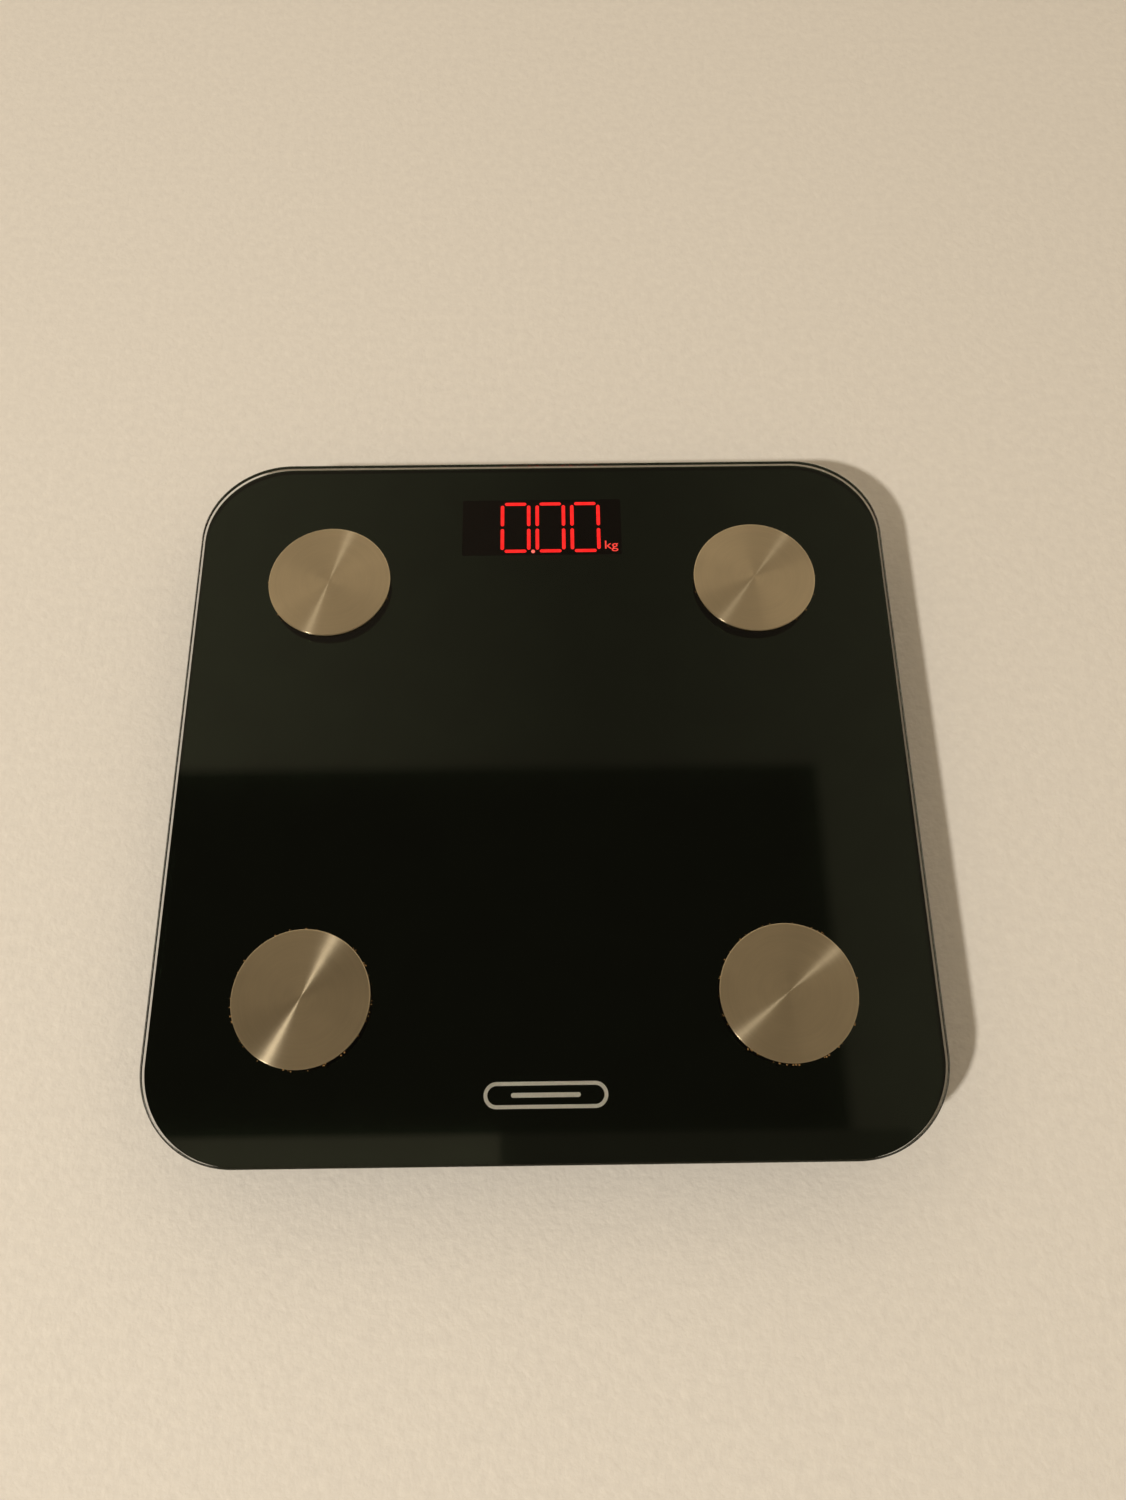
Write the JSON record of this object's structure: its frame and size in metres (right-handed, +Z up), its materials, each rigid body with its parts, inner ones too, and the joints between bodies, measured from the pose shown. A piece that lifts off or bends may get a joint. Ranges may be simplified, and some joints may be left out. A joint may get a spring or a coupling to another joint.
{
  "type": "digital bathroom scale",
  "caption": "Square glass-topped digital body scale with round steel electrodes, lit display, sprung unit button, hinged battery door and load-cell feet.",
  "frame": {"origin": "on the floor, under the middle of the platform", "axes": "+Z up out of the glass, +Y towards the display end, +X to the user's right"},
  "size_m": [0.28, 0.28, 0.025],
  "materials": {
    "platform_glass": "clear tempered float glass, polished chamfers",
    "glass_print": "black print behind the glass",
    "display_filter": "dark tinted filter",
    "foam": "closed-cell foam",
    "tray_plastic": "black ABS, fine spark texture",
    "adhesive": "amber bonding adhesive",
    "washer_fibre": "red fibre",
    "plated_contacts": "bright nickel plate",
    "fastener_steel": "zinc plated steel",
    "gauge_silicone": "white silicone over the strain gauge",
    "board_laminate": "green solder mask",
    "chip_epoxy": "black moulded epoxy",
    "shield_can": "pressed shield",
    "capacitor_sleeve": "dark blue sleeve",
    "header_plastic": "natural nylon",
    "display_housing": "black display face",
    "segments_lit": "red light-emitting segments",
    "button_plastic": "grey keycap",
    "battery_jacket": "printed foil jacket, plain",
    "lead_battery": "red PVC",
    "brushed_electrode": "circular brushed stainless steel",
    "foot_plastic": "black ABS",
    "foot_rubber": "dark grey rubber with ring grooves",
    "load_cell_steel": "nickel plated spring steel",
    "holder_plastic": "natural ABS",
    "lead_cell": "thin PVC",
    "lead_electrode": "black PVC"
  },
  "bodies": {
    "platform": {"backing_film": "glass_print", "base_tray": "tray_plastic", "battery_cells": "battery_jacket", "battery_contacts": "plated_contacts", "battery_leads": "lead_battery", "battery_springs": "plated_contacts", "board_capacitors": "capacitor_sleeve", "board_screws": "fastener_steel", "clock_crystal": "shield_can", "controller_chip": "chip_epoxy", "digit_segments": "segments_lit", "display_filter": "display_filter", "display_module": "display_housing", "display_pins": "plated_contacts", "electrode_adhesive_rings": "adhesive", "electrode_headers": "header_plastic", "electrode_nuts": "fastener_steel", "electrode_terminals": "plated_contacts", "electrode_washers": "washer_fibre", "foam_tape": "foam", "glass_platform": "platform_glass", "heel_left_cell_holder": "holder_plastic", "heel_left_cell_lead": "lead_cell", "heel_left_electrode": "brushed_electrode", "heel_left_electrode_lead": "lead_electrode", "heel_left_load_cell": "load_cell_steel", "heel_right_cell_holder": "holder_plastic", "heel_right_cell_lead": "lead_cell", "heel_right_electrode": "brushed_electrode", "heel_right_electrode_lead": "lead_electrode", "heel_right_load_cell": "load_cell_steel", "holder_screws": "fastener_steel", "load_cell_header": "header_plastic", "main_board": "board_laminate", "radio_module": "shield_can", "strain_gauges": "gauge_silicone", "toe_left_cell_holder": "holder_plastic", "toe_left_cell_lead": "lead_cell", "toe_left_electrode": "brushed_electrode", "toe_left_electrode_lead": "lead_electrode", "toe_left_load_cell": "load_cell_steel", "toe_right_cell_holder": "holder_plastic", "toe_right_cell_lead": "lead_cell", "toe_right_electrode": "brushed_electrode", "toe_right_electrode_lead": "lead_electrode", "toe_right_load_cell": "load_cell_steel", "unit_switch": "chip_epoxy"},
    "toe_left_foot_body": {"toe_left_foot": "foot_plastic", "toe_left_foot_pad": "foot_rubber"},
    "toe_right_foot_body": {"toe_right_foot": "foot_plastic", "toe_right_foot_pad": "foot_rubber"},
    "heel_left_foot_body": {"heel_left_foot": "foot_plastic", "heel_left_foot_pad": "foot_rubber"},
    "heel_right_foot_body": {"heel_right_foot": "foot_plastic", "heel_right_foot_pad": "foot_rubber"},
    "unit_button_body": {"unit_button": "button_plastic", "switch_plunger": "header_plastic"},
    "battery_door_body": {"battery_door": "tray_plastic"}
  },
  "joints": [
    {"name": "toe_left_foot_slide", "type": "slide", "parent": "platform", "child": "toe_left_foot_body", "axis": [0, 0, 1], "range_m": [0, 0.0004], "stiffness_N_per_m": 1000, "springref_m": -0.0042, "deforming": ["toe_left_load_cell", "strain_gauges"]},
    {"name": "toe_right_foot_slide", "type": "slide", "parent": "platform", "child": "toe_right_foot_body", "axis": [0, 0, 1], "range_m": [0, 0.0004], "stiffness_N_per_m": 1000, "springref_m": -0.0042, "deforming": ["toe_right_load_cell", "strain_gauges"]},
    {"name": "heel_left_foot_slide", "type": "slide", "parent": "platform", "child": "heel_left_foot_body", "axis": [0, 0, 1], "range_m": [0, 0.0004], "stiffness_N_per_m": 1000, "springref_m": -0.0042, "deforming": ["heel_left_load_cell", "strain_gauges"]},
    {"name": "heel_right_foot_slide", "type": "slide", "parent": "platform", "child": "heel_right_foot_body", "axis": [0, 0, 1], "range_m": [0, 0.0004], "stiffness_N_per_m": 1000, "springref_m": -0.0042, "deforming": ["heel_right_load_cell", "strain_gauges"]},
    {"name": "unit_button_press", "type": "slide", "parent": "platform", "child": "unit_button_body", "axis": [0, 0, 1], "range_m": [0, 0.0005], "stiffness_N_per_m": 2500, "springref_m": -0.0002},
    {"name": "battery_door_hinge", "type": "hinge", "parent": "platform", "child": "battery_door_body", "pos_m": [0, 0.011, 0.0052], "axis": [-1, 0, 0], "range_deg": [0, 55]}
  ]
}
